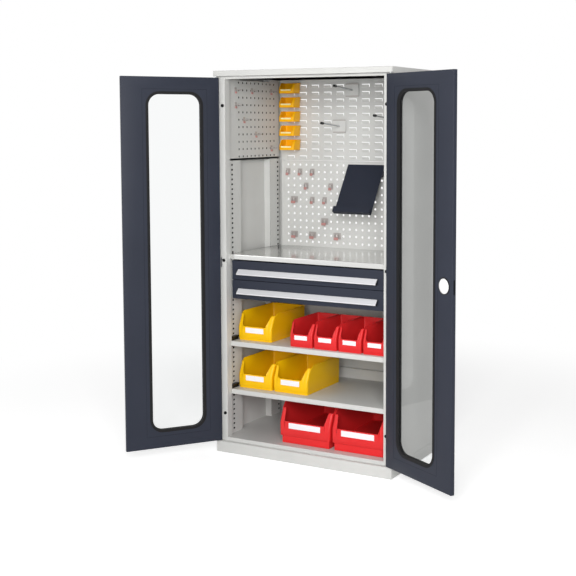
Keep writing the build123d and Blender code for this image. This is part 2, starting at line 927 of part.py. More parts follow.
def hook_rod_ends(index):
    x, top = hook_place(index)
    z = top - hook_plate_height / 2
    start = Vector(x, panel_front - hook_plate_reach, z)
    return start, start + Vector(0, -hook_length, hook_rise)


def make_tool_hooks():
    """A plate clipped over two rows of louvres, carrying one long rod."""
    t = carcass_sheet
    hooks = []
    for index in range(len(hook_columns)):
        x, top = hook_place(index)
        x0, x1 = x - hook_plate_width / 2, x + hook_plate_width / 2
        y0 = panel_front - hook_plate_reach
        plate = block(x0, x1, y0, panel_front, top - hook_plate_height, top)
        plate -= block(x0, x1, y0 + t, panel_front, top - hook_plate_height + t, top - t)
        start, end = hook_rod_ends(index)
        hooks.append(plate + bar(start, end, hook_rod_radius, rod_sides))
    return Compound(children=hooks)


def make_hook_tips():
    tips = []
    for index in range(len(hook_columns)):
        start, end = hook_rod_ends(index)
        tip = end + (end - start).normalized() * hook_tip_length
        tips.append(bar(end, tip, hook_tip_radius, rod_sides))
    return Compound(children=tips)


def make_spring_clip(width):
    """Back plate with a pair of curled jaws that open to the front."""
    t = carcass_sheet
    plate = block(-width / 2, width / 2, -t, 0, -clip_plate_height / 2, clip_plate_height / 2)
    inner = clip_jaw_radius - t
    section = RegularPolygon(clip_jaw_radius, ring_sides) - RegularPolygon(inner, ring_sides)
    ring = extrude(section, amount=clip_jaw_height / 2, both=True)
    ring = Pos(0, -clip_jaw_radius - t / 2, 0) * ring
    gap = clip_jaw_radius * 0.7
    mouth = block(
        -gap, gap, -2 * clip_jaw_radius - t, -clip_jaw_radius * 1.5, -clip_jaw_height, clip_jaw_height
    )
    return plate + (ring - mouth)


def make_tool_clips():
    clips = []
    for places, width in ((clip_holes, clip_plate), (wide_clip_holes, wide_clip_plate)):
        shape = make_spring_clip(width)
        for column, row in places:
            x, z = hole_place(column, round(row * (back_rows - 1) / (drawn_clip_rows - 1)))
            clips.append(Pos(x, panel_front, z) * shape)
    clips += make_side_pegs()
    return Compound(children=clips)


def side_hole_place(column, row):
    middle = (side_panel_front + side_panel_back) / 2
    y = middle + (column - (side_columns - 1) / 2) * hole_spacing
    return y, side_hole_top - row * hole_spacing


def make_side_pegs():
    """Pegs on the left side panel, each on a small plate."""
    t = carcass_sheet
    face = -post_face + t
    wide, high = peg_plate_width / 2, peg_plate_height / 2
    pegs = []
    for column, row in side_peg_holes:
        y, z = side_hole_place(column, row)
        plate = block(face, face + t, y - wide, y + wide, z - high, z + high)
        start = Vector(face, y, z)
        pegs.append(plate + bar(start, start + Vector(side_peg_length, 0, 0), side_peg_radius, rod_sides))
    return pegs


# Bins ----------------------------------------------------------------------


def bin_profile(depth, height, inset, bottom):
    """Side outline of an open-fronted bin, drawn in from its outside by a wall."""
    shoulder = depth * bin_shoulder_share
    top = height + inset
    return [
        (depth - inset, bottom),
        (depth - inset, top),
        (shoulder - inset / 2, top),
        (inset, height * bin_lip_share + inset),
        (inset, bottom),
    ]


def make_bin(size, step_share=bin_step_share, step_inset=bin_step_inset):
    """Bin with its front at y = 0 and its floor at z = 0, centred on x = 0."""
    width, depth, height = size
    w = bin_wall
    half = width / 2
    step = max(w, width * step_inset)
    rise = height * step_share
    body = side_profile(bin_profile(depth, height, 0, rise), -half, half)
    body += block(-half + step, half - step, step, depth - step, 0, rise)
    body -= side_profile(bin_profile(depth, height, w, rise + w), -half + w, half - w)
    tub = step + w
    body -= block(-half + tub, half - tub, tub, depth - tub, w, rise + w)
    lip = width * bin_lip_width
    low = height * bin_front_share
    return body - block(-half + lip, half - lip, 0, depth * bin_shoulder_share, low, height)


def make_bin_hook(size):
    """Ledge behind a hung bin that drops over the louvre tabs."""
    width, depth, height = size
    half = width / 2
    reach = depth + small_hook_reach
    tab_top = height - small_bin_rise
    ledge = block(-half, half, depth - bin_wall, reach, tab_top + fit_gap, tab_top + fit_gap + bin_wall)
    low, high = tab_top - small_hook_bite, tab_top + fit_gap + bin_wall
    return ledge + block(-half, half, reach - carcass_sheet, reach, low, high)


def bin_row_x(size, count, side_gap, index):
    """Middle of one bin of a row that ends a gap short of the shelf's right end."""
    step = size[0] + bin_spacing
    last = shelf_half_width - side_gap - size[0] / 2
    return last - (count - 1 - index) * step


def save_bins():
    upper, lower = shelf_tops["shelf_upper"], shelf_tops["shelf_lower"]
    medium = make_bin(medium_bin)
    y = interior_front + medium_bin_setback
    x = -shelf_half_width + medium_bin_side_gap + medium_bin[0] / 2
    save(Pos(x, y, upper) * medium, "bin_medium_1")
    save(Pos(x, y, lower) * medium, "bin_medium_2")
    save(Pos(x + medium_bin[0] + bin_spacing, y, lower) * medium, "bin_medium_3")
    narrow = make_bin(narrow_bin)
    for index in range(narrow_bin_count):
        x = bin_row_x(narrow_bin, narrow_bin_count, narrow_bin_side_gap, index)
        save(Pos(x, interior_front + narrow_bin_setback, upper) * narrow, f"bin_narrow_{index + 1}")
    large = make_bin(large_bin, large_bin_step_share, large_bin_step_inset)
    for index in range(large_bin_count):
        x = bin_row_x(large_bin, large_bin_count, large_bin_side_gap, index)
        save(Pos(x, large_bin_front, floor_top) * large, f"bin_large_{index + 1}")
    small = make_bin(small_bin) + make_bin_hook(small_bin)
    x = louvre_place(0, 0)[0] + hole_spacing / 2
    y = panel_front - louvre_reach - fit_gap - small_bin[1]
    for index in range(5):
        z = small_bin_top - small_bin[2] - index * small_bin_pitch
        save(Pos(x, y, z) * small, f"bin_small_{index + 1}")


def save_carcass():
    wall = make_side_wall()
    side_panel = make_side_panel()
    save(make_plinth(), "plinth")
    save(make_top_cap(), "top_cap")
    save(make_floor_panel(), "floor_panel")
    save(wall, "side_wall_left")
    save(mirrored(wall), "side_wall_right")
    save(make_header_rail(), "header_rail")
    save(make_posts(), "slotted_posts")
    save(make_rear_wall_lower(), "rear_wall_lower")
    save(make_cross_rail(), "rear_cross_rail")
    save(make_perforated_panel(), "perforated_panel")
    save(make_louvre_panel(), "louvre_panel")
    save(side_panel, "side_panel_left")
    save(mirrored(side_panel), "side_panel_right")
    save(make_pivot_pins(), "pivot_pins")
    save(make_door_buffers(), "door_buffers")


def save_fittings():
    save(make_worktop(), "worktop")
    save(make_drawer_case(), "drawer_case")
    save(make_case_runners(), "case_runners")
    for name, top in shelf_tops.items():
        save(make_shelf(top), name)
    save(make_shelf_clips(), "shelf_clips")
    save(make_document_shelf(), "document_shelf")
    save(make_tool_hooks(), "tool_hooks")
    save(make_hook_tips(), "hook_tips")
    save(make_tool_clips(), "tool_clips")


os.makedirs("parts", exist_ok=True)
save_carcass()
save_fittings()
save_doors()
save_drawers()
save_bins()
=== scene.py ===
import bmesh
import bpy
import math
from mathutils import Matrix, Vector


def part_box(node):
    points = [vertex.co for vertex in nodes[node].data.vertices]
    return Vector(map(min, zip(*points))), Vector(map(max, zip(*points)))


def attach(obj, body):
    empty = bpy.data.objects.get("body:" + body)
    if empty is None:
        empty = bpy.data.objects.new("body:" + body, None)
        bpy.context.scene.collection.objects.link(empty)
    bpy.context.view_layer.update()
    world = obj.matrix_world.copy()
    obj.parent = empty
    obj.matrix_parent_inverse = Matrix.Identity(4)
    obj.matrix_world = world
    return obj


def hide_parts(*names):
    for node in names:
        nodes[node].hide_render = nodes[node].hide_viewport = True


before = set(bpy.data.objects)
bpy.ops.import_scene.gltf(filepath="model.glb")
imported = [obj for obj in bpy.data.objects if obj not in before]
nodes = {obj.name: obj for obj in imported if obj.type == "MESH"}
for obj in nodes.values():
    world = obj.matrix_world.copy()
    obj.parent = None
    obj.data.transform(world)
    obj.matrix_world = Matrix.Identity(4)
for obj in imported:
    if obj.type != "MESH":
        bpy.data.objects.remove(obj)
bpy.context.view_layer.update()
doorTurn = {"left": -127.0, "right": 151.0}  # how far each door stands open, in degrees
print("frame loaded:", len(nodes), "nodes")


# camera --------------------------------------------------------------------

camera = {
    "place": (2.6857, -4.8614, 1.6815),
    "turn": 0.4810,  # radians to the left of straight ahead
    "tilt": 0.0811,  # radians down
    "focal": 1090.5,  # pixels of a 576 picture
    "centre": (354.9, 213.1),  # where the lens axis meets the picture
}


def addCamera():
    data = bpy.data.cameras.new("photoCamera")
    data.sensor_width = 36.0
    data.lens = camera["focal"] / 576 * 36.0
    data.shift_x = (288 - camera["centre"][0]) / 576
    data.shift_y = (camera["centre"][1] - 288) / 576
    data.clip_start, data.clip_end = 0.05, 200.0
    eye = bpy.data.objects.new("photoCamera", data)
    bpy.context.scene.collection.objects.link(eye)
    eye.location = camera["place"]
    turn, tilt = camera["turn"], camera["tilt"]
    ahead = Vector((-math.sin(turn) * math.cos(tilt), math.cos(turn) * math.cos(tilt), -math.sin(tilt)))
    eye.rotation_mode = "QUATERNION"
    eye.rotation_quaternion = ahead.to_track_quat("-Z", "Y")
    bpy.context.scene.camera = eye


addCamera()


# materials -----------------------------------------------------------------


def hexColour(text):
    parts = [int(text[i : i + 2], 16) / 255 for i in (0, 2, 4)]
    return tuple(p / 12.92 if p <= 0.04045 else ((p + 0.055) / 1.055) ** 2.4 for p in parts)


def coordinates(tree, stretch=(1, 1, 1)):
    place = tree.nodes.new("ShaderNodeTexCoord")
    mapping = tree.nodes.new("ShaderNodeMapping")
    mapping.inputs["Scale"].default_value = stretch
    tree.links.new(place.outputs["Object"], mapping.inputs["Vector"])
    return mapping.outputs["Vector"]


def noise(tree, vector, scale, detail):
    node = tree.nodes.new("ShaderNodeTexNoise")
    node.inputs["Scale"].default_value = scale
    node.inputs["Detail"].default_value = detail
    tree.links.new(vector, node.inputs["Vector"])
    return node.outputs["Fac"]


def spread(tree, value, low, high):
    node = tree.nodes.new("ShaderNodeMapRange")
    node.inputs["From Min"].default_value = 0.3
    node.inputs["From Max"].default_value = 0.7
    node.inputs["To Min"].default_value = low
    node.inputs["To Max"].default_value = high
    tree.links.new(value, node.inputs["Value"])
    return node.outputs["Result"]


def blended(tree, colourA, colourB, value):
    node = tree.nodes.new("ShaderNodeMix")
    node.data_type = "RGBA"
    node.inputs["A"].default_value = (*colourA, 1)
    node.inputs["B"].default_value = (*colourB, 1)
    tree.links.new(value, node.inputs["Factor"])
    return node.outputs["Result"]


def finish(
    name, colour, roughness, grain=900.0, depth=0.00003, metallic=0.0, tone=0.03, stretch=(1, 1, 1), shine=0.4
):
    # slow clouds vary the colour, and a fine grain varies the gloss and bumps the surface
    material = bpy.data.materials.new(name)
    material.use_nodes = True
    tree = material.node_tree
    shader = tree.nodes["Principled BSDF"]
    vector = coordinates(tree, stretch)
    clouds = noise(tree, vector, 4.0, 3.0)
    fine = noise(tree, vector, grain, 2.0)
    base = hexColour(colour)
    darker = tuple(c * (1 - tone) for c in base)
    lighter = tuple(min(1.0, c * (1 + tone)) for c in base)
    tree.links.new(blended(tree, darker, lighter, spread(tree, clouds, 0, 1)), shader.inputs["Base Color"])
    tree.links.new(spread(tree, fine, roughness * 0.9, roughness * 1.1), shader.inputs["Roughness"])
    bump = tree.nodes.new("ShaderNodeBump")
    bump.inputs["Distance"].default_value = depth
    tree.links.new(fine, bump.inputs["Height"])
    tree.links.new(bump.outputs["Normal"], shader.inputs["Normal"])
    shader.inputs["Metallic"].default_value = metallic
    shader.inputs["Specular IOR Level"].default_value = shine
    return material


paints = {
    "carcassPaint": finish("carcassPaint", "d3d3d0", 0.42, shine=0.3),
    "anthracitePaint": finish("anthracitePaint", "2d313d", 0.45, tone=0.05, shine=0.2),
    "seamShade": finish("seamShade", "1e212a", 0.6, shine=0.1),
    "trayPaint": finish("trayPaint", "8c8f92", 0.45),
    "sheetSteel": finish(
        "sheetSteel", "dddddb", 0.13, grain=260, depth=0.00001, metallic=0.7, stretch=(0.12, 1, 1), shine=0.5
    ),
    "zincPlate": finish("zincPlate", "b9bbbd", 0.3, metallic=0.8, tone=0.08),
    # grey steel of the tool clips, also used as painted shade on the hook plates' folds
    "clipSteelAndFoldShade": finish("clipSteelAndFoldShade", "b4aeab", 0.35, metallic=0.25, tone=0.06),
    "handleAluminium": finish(
        "handleAluminium", "e2e2e5", 0.35, grain=1400, depth=0.00001, metallic=0.2, stretch=(0.03, 1, 1)
    ),
    "blackRubber": finish("blackRubber", "121214", 0.65, tone=0.15, shine=0.25),
    # black plastic parts, also used for the painted shadow under the drawer handles
    "blackPlasticAndShade": finish("blackPlasticAndShade", "101012", 0.4, tone=0.12),
    "bushPlastic": finish("bushPlastic", "dcdcd8", 0.4),
    "whitePlastic": finish("whitePlastic", "f8f8f8", 0.3, depth=0.00001),
    "yellowPlastic": finish("yellowPlastic", "fec604", 0.4, grain=500, shine=0.3),
    "orangePlastic": finish("orangePlastic", "ffb806", 0.4, grain=500, shine=0.3),
    "redPlastic": finish("redPlastic", "e32b2d", 0.38, grain=500, shine=0.3),
    "clipRed": finish("clipRed", "c08d88", 0.4, tone=0.05),
    "labelCard": finish("labelCard", "f6f4f8", 0.6, grain=1500, depth=0.00001, tone=0.015),
    # pale yellow strip on the small bins' lip: their card holder, with a painted highlight in its paler
    # colour
    "smallCardAndHighlight": finish("smallCardAndHighlight", "fff0b4", 0.45, grain=1500, depth=0.00001, tone=0.015),
    # matte near-black standing in for painted shade inside holes, slots and hollows
    "paintedHoleShade": finish("paintedHoleShade", "141416", 0.8, shine=0.05),
}


def clearPane():
    # thin acrylic: see-through, with a sheet's reflection that grows towards a grazing view
    material = bpy.data.materials.new("clearPane")
    material.use_nodes = True
    tree = material.node_tree
    tree.nodes.remove(tree.nodes["Principled BSDF"])
    through = tree.nodes.new("ShaderNodeBsdfTransparent")
    through.inputs["Color"].default_value = (0.975, 0.98, 0.98, 1)
    gloss = tree.nodes.new("ShaderNodeBsdfGlossy")
    gloss.inputs["Roughness"].default_value = 0.03
    weight = tree.nodes.new("ShaderNodeLayerWeight")
    weight.inputs["Blend"].default_value = 0.5
    power = tree.nodes.new("ShaderNodeMath")
    power.operation = "POWER"
    power.inputs[1].default_value = 5.0
    tree.links.new(weight.outputs["Facing"], power.inputs[0])
    share = tree.nodes.new("ShaderNodeMath")
    share.operation = "MULTIPLY_ADD"
    share.inputs[1].default_value = 0.6
    share.inputs[2].default_value = 0.025
    tree.links.new(power.outputs["Value"], share.inputs[0])
    mix = tree.nodes.new("ShaderNodeMixShader")
    tree.links.new(share.outputs["Value"], mix.inputs["Fac"])
    tree.links.new(through.outputs["BSDF"], mix.inputs[1])
    tree.links.new(gloss.outputs["BSDF"], mix.inputs[2])
    tree.links.new(mix.outputs["Shader"], tree.nodes["Material Output"].inputs["Surface"])
    return material


paints["clearPane"] = clearPane()

nodePaint = {
    "carcassPaint": [
        "header_rail", "floor_panel", "side_wall_left", "side_wall_right", "rear_wall_lower",
        "rear_cross_rail", "louvre_panel", "drawer_case",
    ],
    "anthracitePaint": ["door_left_liner", "door_right_liner"],
    "trayPaint": ["drawer_upper_tray", "drawer_lower_tray"],
    "zincPlate": ["case_runners", "pivot_pins", "lock_case", "lock_rod_upper", "lock_rod_lower"],
    "clipSteelAndFoldShade": ["tool_clips"],
    "handleAluminium": ["drawer_upper_handle", "drawer_lower_handle"],
    "blackRubber": ["door_left_gasket", "door_right_gasket", "door_buffers"],
    "blackPlasticAndShade": ["shelf_clips", "hook_tips", "turn_handle"],
    "clearPane": ["door_left_pane", "door_right_pane"],
    "bushPlastic": ["door_left_bushes", "door_right_bushes"],
    "whitePlastic": ["lock_cover"],
}
for paint, names in nodePaint.items():
    for name in names:
        nodes[name].data.materials.clear()
        nodes[name].data.materials.append(paints[paint])
print("materials made:", len(paints))


# mesh helpers --------------------------------------------------------------


def addPiece(name, mesh, body, paint, replaced=()):
    mesh.materials.clear()
    mesh.materials.append(paints[paint])
    piece = bpy.data.objects.new(name, mesh)
    bpy.context.scene.collection.objects.link(piece)
    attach(piece, body)
    if replaced:
        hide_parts(*replaced)
    return piece


def smoothBy(mesh, degrees):
    mesh.polygons.foreach_set("use_smooth", [True] * len(mesh.polygons))
    mesh.set_sharp_from_angle(angle=math.radians(degrees))


def meshFrom(bm, name, angle=0):
    mesh = bpy.data.meshes.new(name)
    bm.to_mesh(mesh)
    bm.free()
    if angle:
        smoothBy(mesh, angle)
    return mesh


def addBox(bm, low, high, edge=0.0):
    made = bmesh.ops.create_cube(bm, size=1.0)["verts"]
    for v in made:
        v.co = Vector([(low[i] + high[i]) / 2 + v.co[i] * (high[i] - low[i]) for i in range(3)])
    if edge:
        edges = {e for v in made for e in v.link_edges}
        bmesh.ops.bevel(bm, geom=list(edges), offset=edge, segments=2, affect="EDGES", profile=0.5)


def addPrism(bm, outline, x0, x1):
    # a closed outline of (y, z) points, drawn out from x0 to x1
    ends = [[bm.verts.new((x, y, z)) for y, z in outline] for x in (x0, x1)]
    made = [bm.faces.new(ends[0]), bm.faces.new(list(reversed(ends[1])))]
    for i in range(len(outline)):
        j = (i + 1) % len(outline)
        made.append(bm.faces.new((ends[0][j], ends[0][i], ends[1][i], ends[1][j])))
    bmesh.ops.recalc_face_normals(bm, faces=made)


def mirrorInto(bm):
    # adds the other side's copy, with its faces turned outwards again
    made = bmesh.ops.duplicate(bm, geom=bm.verts[:] + bm.edges[:] + bm.faces[:])["geom"]
    for v in made:
        if isinstance(v, bmesh.types.BMVert):
            v.co.x = -v.co.x
    bmesh.ops.reverse_faces(bm, faces=[f for f in made if isinstance(f, bmesh.types.BMFace)])


def islands(bm):
    # the points of each separate solid in a mesh
    left, boxes = set(bm.verts), []
    while left:
        stack, group = [left.pop()], []
        while stack:
            v = stack.pop()
            group.append(v)
            for e in v.link_edges:
                other = e.other_vert(v)
                if other in left:
                    left.remove(other)
                    stack.append(other)
        boxes.append(group)
    return boxes


def boxOf(verts):
    return [Vector([pick(v.co[i] for v in verts) for i in range(3)]) for pick in (min, max)]


def doorMatrix(side):
    # from a shut door to where it stands
    pivot = Vector((-0.487 if side == "left" else 0.487, -0.294, 0))
    turn = Matrix.Rotation(math.radians(doorTurn[side]), 4, "Z")
    return Matrix.Translation(pivot) @ turn @ Matrix.Translation(-pivot)


def copyOf(name):
    bm = bmesh.new()
    bm.from_mesh(nodes[name].data)
    bmesh.ops.remove_doubles(bm, verts=bm.verts, dist=0.00001)
    bmesh.ops.dissolve_limit(bm, angle_limit=math.radians(0.5), verts=bm.verts, edges=bm.edges)
    return bm


onPlane = 0.00002  # how near a point lies to a side of the box to count as on it


def softened(name, pieceName, body, paint, width, back=None):
    # a copy of a node with the outer edges of its box eased, worked square to the axes
    bm = copyOf(name)
    if back:
        bmesh.ops.transform(bm, matrix=back.inverted(), verts=bm.verts)
    low, high = boxOf(bm.verts)

    def planes(v):
        sides = [(i, k, end[i]) for i in range(3) for k, end in enumerate((low, high))]
        return {(i, k) for i, k, place in sides if abs(v.co[i] - place) < onPlane}

    edges = [e for e in bm.edges if len(planes(e.verts[0]) & planes(e.verts[1])) >= 2]
    bmesh.ops.bevel(
        bm, geom=edges, offset=width, segments=3, affect="EDGES", profile=0.5, clamp_overlap=False
    )
    if back:
        bmesh.ops.transform(bm, matrix=back, verts=bm.verts)
    return addPiece(pieceName, meshFrom(bm, pieceName, 35), body, paint, [name])


# repeated cells ------------------------------------------------------------


def cellTree():
    tree = bpy.data.node_groups.new("repeatedCells", "GeometryNodeTree")
    sockets = {}
    for label, kind in (
        ("Cell", "Object"), ("Columns", "Int"), ("Rows", "Int"), ("Start", "Vector"),
        ("Column Step", "Vector"), ("Row Step", "Vector"), ("Join Distance", "Float"), ("Finish", "Material"),
    ):
        item = tree.interface.new_socket(label, in_out="INPUT", socket_type="NodeSocket" + kind)
        sockets[label] = item.identifier
    tree.interface.new_socket("Geometry", in_out="OUTPUT", socket_type="NodeSocketGeometry")
    new, link = tree.nodes.new, tree.links.new
    given, out = new("NodeGroupInput"), new("NodeGroupOutput")

    def mathNode(operation, a, b=None):
        node = new("ShaderNodeMath")
        node.operation = operation
        link(a, node.inputs[0])
        if b is not None:
            link(b, node.inputs[1])
        return node.outputs["Value"]

    def scaled(vector, value):
        node = new("ShaderNodeVectorMath")
        node.operation = "SCALE"
        link(vector, node.inputs[0])
        link(value, node.inputs["Scale"])
        return node.outputs["Vector"]

    def added(a, b):
        node = new("ShaderNodeVectorMath")
        link(a, node.inputs[0])
        link(b, node.inputs[1])
        return node.outputs["Vector"]

    points = new("GeometryNodePoints")
    link(mathNode("MULTIPLY", given.outputs["Columns"], given.outputs["Rows"]), points.inputs["Count"])
    index = new("GeometryNodeInputIndex").outputs["Index"]
    column = mathNode("MODULO", index, given.outputs["Columns"])
    row = mathNode("FLOOR", mathNode("DIVIDE", index, given.outputs["Columns"]))
    steps = added(scaled(given.outputs["Column Step"], column), scaled(given.outputs["Row Step"], row))
    link(added(given.outputs["Start"], steps), points.inputs["Position"])
    cell = new("GeometryNodeObjectInfo")
    link(given.outputs["Cell"], cell.inputs["Object"])
    instances = new("GeometryNodeInstanceOnPoints")
    link(points.outputs[0], instances.inputs["Points"])
    link(cell.outputs["Geometry"], instances.inputs["Instance"])
    real = new("GeometryNodeRealizeInstances")
    link(instances.outputs["Instances"], real.inputs["Geometry"])
    merged = new("GeometryNodeMergeByDistance")
    link(real.outputs["Geometry"], merged.inputs["Geometry"])
    link(given.outputs["Join Distance"], merged.inputs["Distance"])
    paint = new("GeometryNodeSetMaterial")
    link(merged.outputs["Geometry"], paint.inputs["Geometry"])
    link(given.outputs["Finish"], paint.inputs["Material"])
    link(paint.outputs["Geometry"], out.inputs["Geometry"])
    return tree, sockets


repeatTree, repeatSockets = cellTree()


def repeated(cellMesh, columns, rows, start, columnStep, rowStep, paint):
    cell = bpy.data.objects.new("cell", cellMesh)
    host = bpy.data.objects.new("cellHost", bpy.data.meshes.new("cellHost"))
    for thing in (cell, host):
        bpy.context.scene.collection.objects.link(thing)
    modifier = host.modifiers.new("cells", "NODES")
    modifier.node_group = repeatTree
    values = {
        "Cell": cell, "Columns": columns, "Rows": rows, "Start": start, "Column Step": columnStep,
        "Row Step": rowStep, "Join Distance": 0.00002, "Finish": paints[paint],
    }
    for label, value in values.items():
        modifier[repeatSockets[label]] = value
    bpy.context.view_layer.update()
    mesh = bpy.data.meshes.new_from_object(host.evaluated_get(bpy.context.evaluated_depsgraph_get()))
    bpy.data.objects.remove(host)
    bpy.data.objects.remove(cell)
    return mesh


def holedCell(size, holeCentre, hole, thickness, place):
    # one tile of sheet with a hole of cut corners; place turns (u, v, depth) into a point
    bm = bmesh.new()
    width, height = size
    cu, cv = holeCentre
    hu, hv, cut = hole[0] / 2, hole[1] / 2, hole[2]
    outer = [(0, 0), (width, 0), (width, height), (0, height)]
    inner = [
        (cu - hu + cut, cv - hv), (cu + hu - cut, cv - hv),
        (cu + hu, cv - hv + cut), (cu + hu, cv + hv - cut),
        (cu + hu - cut, cv + hv), (cu - hu + cut, cv + hv),
        (cu - hu, cv + hv - cut), (cu - hu, cv - hv + cut),
    ]
    sides = []
    for depth in (0.0, thickness):
        o = [bm.verts.new(place(u, v, depth)) for u, v in outer]
        h = [bm.verts.new(place(u, v, depth)) for u, v in inner]
        sides.append((o, h))
        for i in range(4):
            j = (i + 1) % 4
            near, far, corner = h[2 * i], h[2 * i + 1], h[(2 * i + 2) % 8]
            for face in ((o[i], o[j], far, near), (o[j], corner, far)):
                bm.faces.new(face if depth == 0 else tuple(reversed(face)))
    front, back = sides[0][1], sides[1][1]
    for i in range(8):
        j = (i + 1) % 8
        bm.faces.new((front[i], front[j], back[j], back[i]))
    return meshFrom(bm, "holedCell")


def facingRight(u, v, depth):
    return (-depth, u, v)


def facingFront(u, v, depth):
    return (u, depth, v)


# slotted posts -------------------------------------------------------------

posts = {
    "face": 0.462,
    "skin": 0.4985,
    "sheet": 0.0015,
    "slot": (0.015, 0.0095, 0.002),
    "step": 0.025,
    "count": 57,
    "firstSlot": 1.500,
    # each post's span and the line of its slots, along Y
    "columns": (((-0.234, -0.114), -0.192), ((0.175, 0.269), 0.253)),
}
holeShadeDepth = (0.9, 0.7)  # how deep in the sheet the painted shade behind its holes lies


def addPosts():
    low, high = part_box("slotted_posts")
    step, sheet, face, skin = posts["step"], posts["sheet"], posts["face"], posts["skin"]
    top = posts["firstSlot"] + step / 2
    bottom = top - posts["count"] * step
    bm, shade = bmesh.new(), bmesh.new()
    for (y0, y1), slotY in posts["columns"]:
        cell = holedCell((y1 - y0, step), (slotY - y0, step / 2), posts["slot"], sheet, facingRight)
        start = (-face, y0, bottom)
        bm.from_mesh(repeated(cell, 1, posts["count"], start, (0, 0, 0), (0, 0, step), "carcassPaint"))
        addBox(bm, (-face - sheet, y0, top), (-face, y1, high.z))
        addBox(bm, (-face - sheet, y0, low.z), (-face, y1, bottom))
        addBox(bm, (-skin, y0, low.z), (-face - sheet, y0 + sheet, high.z))
        addBox(bm, (-skin, y1 - sheet, low.z), (-face - sheet, y1, high.z))
        # painted shade: a dark sheet inside the post's face, seen through the slots in place of the hollow
        # post's shade
        deep, shallow = (-face - sheet * share for share in holeShadeDepth)
        addBox(shade, (deep, y0 + sheet, bottom), (shallow, y1 - sheet, top))
    mirrorInto(bm)
    mirrorInto(shade)
    addPiece("slottedPosts", meshFrom(bm, "slottedPosts"), "cabinet", "carcassPaint", ["slotted_posts"])
    addPiece("slotShade", meshFrom(shade, "slotShade"), "cabinet", "paintedHoleShade")


addPosts()


# side panels ---------------------------------------------------------------

sidePanels = {
    "holes": (10, 11),
    "step": 0.038,
    "hole": (0.0105, 0.0105, 0.002),
    "firstHole": (-0.127, 1.896),
}


def addSidePanel(node, name):
    low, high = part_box(node)
    sheet = high.x - low.x
    face = min(abs(low.x), abs(high.x))
    columns, rows = sidePanels["holes"]
    step = sidePanels["step"]
    y0 = sidePanels["firstHole"][0] - step / 2
    z0 = sidePanels["firstHole"][1] + step / 2 - rows * step
    y1 = y0 + columns * step
    cell = holedCell((step, step), (step / 2, step / 2), sidePanels["hole"], sheet, facingRight)
    bm, shade = bmesh.new(), bmesh.new()
    bm.from_mesh(repeated(cell, columns, rows, (-face, y0, z0), (0, step, 0), (0, 0, step), "carcassPaint"))
    for v in bm.verts:
        v.co.z = min(v.co.z, high.z)
    back = -face - sheet
    addBox(bm, (back, low.y, low.z), (-face, high.y, z0))
    addBox(bm, (back, low.y, z0), (-face, y0, high.z))
    addBox(bm, (back, y1, z0), (-face, high.y, high.z))
    # painted shade: a dark sheet inside the panel, seen through the holes in place of the cavity's shade
    deep, shallow = (-face - sheet * share for share in holeShadeDepth)
    addBox(shade, (deep, y0, z0), (shallow, y1, high.z - sheet))
    if low.x > 0:
        for mesh in (bm, shade):
            for v in mesh.verts:
                v.co.x = -v.co.x
            bmesh.ops.reverse_faces(mesh, faces=mesh.faces[:])
    addPiece(name, meshFrom(bm, name), "cabinet", "carcassPaint", [node])
    addPiece(name + "Shade", meshFrom(shade, name), "cabinet", "paintedHoleShade")


addSidePanel("side_panel_left", "sidePanelLeft")
addSidePanel("side_panel_right", "sidePanelRight")


# perforated panel ----------------------------------------------------------

perforation = {
    "holes": (22, 12),
    "step": 0.038,
    "hole": (0.0118, 0.0118, 0.003),
    "topRow": 1.464,
    "sheet": 0.0015,
}


def addPerforatedPanel():
    low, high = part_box("perforated_panel")
    columns, rows = perforation["holes"]
    step, sheet = perforation["step"], perforation["sheet"]
    x0 = -columns * step / 2
    z1 = perforation["topRow"] + step / 2
    z0 = z1 - rows * step
    cell = holedCell((step, step), (step / 2, step / 2), perforation["hole"], sheet, facingFront)
    bm = bmesh.new()
    bm.from_mesh(repeated(cell, columns, rows, (x0, low.y, z0), (step, 0, 0), (0, 0, step), "carcassPaint"))
    front, back = low.y, low.y + sheet
    addBox(bm, (low.x, front, low.z), (high.x, back, z0))
    addBox(bm, (low.x, front, z1), (high.x, back, high.z))
    addBox(bm, (low.x, front, z0), (x0, back, z1))
    addBox(bm, (-x0, front, z0), (high.x, back, z1))
    for z in (low.z, high.z - sheet):
        addBox(bm, (low.x, back, z), (high.x, high.y, z + sheet))
    for x in (low.x, high.x - sheet):
        addBox(bm, (x, back, low.z + sheet), (x + sheet, high.y, high.z - sheet))
    mesh = meshFrom(bm, "perforatedPanel")
    addPiece("perforatedPanel", mesh, "cabinet", "carcassPaint", ["perforated_panel"])


addPerforatedPanel()
print("posts and panels made")


# folded sheet with eased edges ---------------------------------------------

for side in ("left", "right"):
    turned = doorMatrix(side)
    door = f"door_{side}"
    softened(f"{door}_shell", f"doorSkin{side.title()}", door, "anthracitePaint", 0.0025, turned)
for node, name, paint, width in (
    ("top_cap", "topCap", "carcassPaint", 0.002),
    ("plinth", "plinthRing", "carcassPaint", 0.002),
    ("worktop", "worktopSheet", "sheetSteel", 0.0015),
    ("shelf_upper", "shelfUpper", "carcassPaint", 0.0015),
    ("shelf_lower", "shelfLower", "carcassPaint", 0.0015),
):
    softened(node, name, "cabinet", paint, width)
for level in ("upper", "lower"):
    body = f"drawer_{level}"
    softened(f"{body}_front", f"drawerFront{level.title()}", body, "anthracitePaint", 0.002)
print("sheet pieces softened")


# door seams and lock details -----------------------------------------------

doorLines = {"from": (-0.435, -0.1055), "height": (0.1205, 1.8555), "width": 0.0011, "face": -0.280}
# box of the painted shade in the latch slot
latchSlot = {"low": (0.0012, -0.2935, 0.948), "high": (0.0020, -0.2865, 1.012)}
strikePlate = {
    "plate": ((-0.4795, -0.2760, 0.955), (-0.4705, -0.2748, 1.005)),
    "mouth": ((-0.4762, -0.2762, 0.970), (-0.4738, -0.2758, 0.990)),
    "edge": 0.0003,
}
lockRing = {"centre": (-0.0595, 0.980), "inner": 0.0325, "outer": 0.0390, "proud": 0.0022, "steps": 48}


